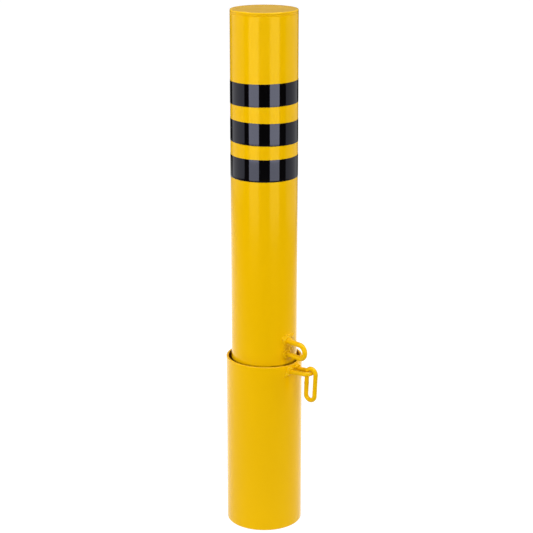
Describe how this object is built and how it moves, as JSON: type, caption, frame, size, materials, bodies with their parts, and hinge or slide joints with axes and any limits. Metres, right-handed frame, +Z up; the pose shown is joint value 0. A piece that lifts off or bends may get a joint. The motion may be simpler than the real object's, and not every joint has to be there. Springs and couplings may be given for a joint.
{
  "type": "removable bollard",
  "caption": "Yellow steel tube bollard with black tape bands that lifts out of a short ground sleeve and locks by a hoop, staple and chain link.",
  "frame": {"origin": "centre of the ground sleeve's underside, where the part stands", "axes": "+Z up along the post, +X from the post's axis to the lock staple on the sleeve"},
  "size_m": [0.1856, 0.133, 0.9144],
  "materials": {
    "post_coat": "gloss golden yellow powder coat on the lift-out post",
    "sleeve_coat": "gloss golden yellow powder coat on the ground sleeve, inside and out",
    "hardware_coat": "gloss golden yellow powder coat over welded rod and chain link",
    "black_tape": "glossy black self-adhesive vinyl tape",
    "pad_nylon": "black nylon, moulded, slightly satin"
  },
  "bodies": {
    "sleeve": {"sleeve_tube": "sleeve_coat", "sleeve_base_plate": "sleeve_coat", "sleeve_base_weld": "sleeve_coat", "centring_lugs_lower": "sleeve_coat", "centring_lugs_upper": "sleeve_coat", "lock_staple": "hardware_coat", "lock_staple_weld_left": "hardware_coat", "lock_staple_weld_right": "hardware_coat"},
    "rest_pad": {"rest_pad": "pad_nylon"},
    "post": {"post_tube": "post_coat", "post_top_cap": "post_coat", "post_cap_weld": "post_coat", "post_foot_plate": "post_coat", "post_foot_weld": "post_coat", "stripe_upper": "black_tape", "stripe_middle": "black_tape", "stripe_lower": "black_tape", "lock_loop": "hardware_coat", "lock_loop_weld_upper": "hardware_coat", "lock_loop_weld_lower": "hardware_coat"},
    "lock_link": {"lock_link": "hardware_coat", "lock_link_weld": "hardware_coat"}
  },
  "joints": [
    {"name": "post_turn", "type": "hinge", "parent": "sleeve", "child": "rest_pad", "pos_m": [0, 0, 0.0088], "axis": [0, 0, 1], "continuous": true},
    {"name": "post_lift", "type": "slide", "parent": "rest_pad", "child": "post", "axis": [0, 0, 1], "range_m": [0, 0.31]},
    {"name": "link_swing", "type": "hinge", "parent": "sleeve", "child": "lock_link", "pos_m": [0.1059, 0, 0.29825], "axis": [0, -1, 0], "range_deg": [-36, 220]}
  ]
}
